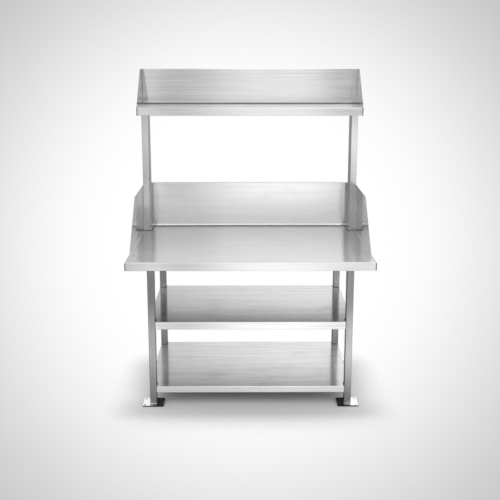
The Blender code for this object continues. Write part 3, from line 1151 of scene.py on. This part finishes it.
@dataclass(frozen=True)
class Backdrop:
    """A white backdrop that greys a little towards the picture's edges, by the angle from its middle."""

    middle: Triple = (0.004, 0.9617, -0.2747)
    greying: Ramp = Ramp(0.18, 0.56, 0.0, 0.50)
    greying_end: Ramp = Ramp(0.60, 1.10, 1.0, 0.0)

    def brightness(self, g: Graph, heading: Socket) -> Socket:
        """How bright the backdrop is in a direction."""
        angle = g.maths("ARCCOSINE", g.vector("DOT_PRODUCT", heading, self.middle))
        return g.darken(self.greying.place(g, angle), self.greying_end.place(g, angle))


@dataclass(frozen=True)
class Surroundings:
    """The backdrop for the camera, the room for reflections, and even light for the rest."""

    room: Room = Room()
    backdrop: Backdrop = Backdrop()
    light: float = 1.0

    def build(self) -> None:
        """Makes the world."""
        world = bpy.data.worlds.new("studio")
        bpy.context.scene.world = world
        world.use_nodes = True
        nodes = world.node_tree.nodes
        g = Graph(world.node_tree)
        lit = g.node("ShaderNodeBackground", WHITE, self.light)
        rays = g.node("ShaderNodeLightPath").outputs
        direct = rays["Is Camera Ray"]
        bounced = g.maths("MAXIMUM", rays["Is Glossy Ray"], rays["Is Transmission Ray"])
        seen = g.maths("MAXIMUM", direct, bounced)
        heading = g.node("ShaderNodeTexCoord").outputs["Generated"]
        level = g.mix(Mixed.NUMBERS, direct, self.room.brightness(g, heading),
                      self.backdrop.brightness(g, heading))
        shown = nodes["Background"]
        g.fill(shown, Color=WHITE, Strength=level)
        surface = g.node("ShaderNodeMixShader", seen, lit.outputs[0], shown.outputs[0]).outputs[0]
        g.fill(nodes["World Output"], Surface=surface)


@dataclass(frozen=True)
class Lamp:
    """A soft square lamp, with its power in watts."""

    name: str
    place: Triple
    target: Triple
    size: float
    power: float
    shine: float = 0.25

    def build(self) -> None:
        """Hangs the lamp and points it at its target."""
        data = bpy.data.lights.new(self.name, "AREA")
        data.energy = self.power
        data.size = self.size
        data.specular_factor = self.shine
        lamp = bpy.data.objects.new(self.name, data)
        lamp.location = self.place
        towards = Vector(self.target) - Vector(self.place)
        lamp.rotation_euler = towards.to_track_quat("-Z", "Y").to_euler()
        bpy.context.scene.collection.objects.link(lamp)


@dataclass(frozen=True)
class Camera:
    """The camera at the photograph's viewing angle, with angles in degrees and its lens in millimetres."""

    place: Triple = (-0.03511, -4.15321, 2.06919)
    tilt: float = 79.75
    turn: float = -0.23
    sensor: float = 36.0
    lens: float = 50.553
    shift: tuple[float, float] = (0.0059, -0.16)

    def build(self) -> None:
        """Sets the camera up."""
        data = bpy.data.cameras.new("camera")
        data.sensor_width = self.sensor
        data.lens = self.lens
        data.shift_x, data.shift_y = self.shift
        camera = bpy.data.objects.new("camera", data)
        camera.location = self.place
        camera.rotation_euler = (math.radians(self.tilt), 0.0, math.radians(self.turn))
        bpy.context.scene.collection.objects.link(camera)
        bpy.context.scene.camera = camera


@dataclass(frozen=True)
class Studio:
    """What stands round the table: the floor, the surroundings, the lamps and the camera."""

    floor: Floor = Floor()
    surroundings: Surroundings = Surroundings()
    key_lamp: Lamp = Lamp("key_lamp", (0.6, -2.4, 3.4), (0.1, 0.0, 0.8), size=2.2, power=10.0)
    fill_lamp: Lamp = Lamp("fill_lamp", (-3.0, -2.0, 2.6), (0.0, 0.0, 0.8), size=2.0, power=5.0)
    camera: Camera = Camera()

    def build(self) -> None:
        """Sets up everything round the table, with colours shown as they are written."""
        bpy.context.scene.view_settings.view_transform = "Standard"
        for part in (self.floor, self.surroundings, self.key_lamp, self.fill_lamp, self.camera):
            part.build()
            LOG.info("studio: %s", type(part).__name__.lower())


def dress_nodes(materials: dict[str, Material]) -> None:
    """Gives every kept node of the model its own finish.

    Args:
        materials: the finished materials by key.
    """
    for key, names in NODE_FINISHES.items():
        for name in names:
            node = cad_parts[name]
            node.data.materials.clear()
            node.data.materials.append(materials[key])
            LOG.info("%s: %s", name, materials[key].name)


def main() -> None:
    """Builds the finishes, the pieces and the studio in order."""
    logging.basicConfig(level=logging.INFO, format="%(name)s: %(message)s")
    effects = Effects(BrushedGrain().group(), OrbitalMarks().group(), HandlingWear().group(), painted_shade_group())
    materials = {key: finish.material(effects) for key, finish in FINISHES.items()}
    dress_nodes(materials)
    FootWelds(materials["weld"]).build()
    PostWelds(materials["weld"], materials["joint"]).build()
    PostSeams(materials["weld"]).build()
    ShelfWelds(materials["joint"]).build()
    CornerSeams(materials["seam"], materials["upper_seam"], materials["joint"]).build()
    LipCorners(materials["joint"]).build()
    Studio().build()


if __name__ == "__main__":
    main()
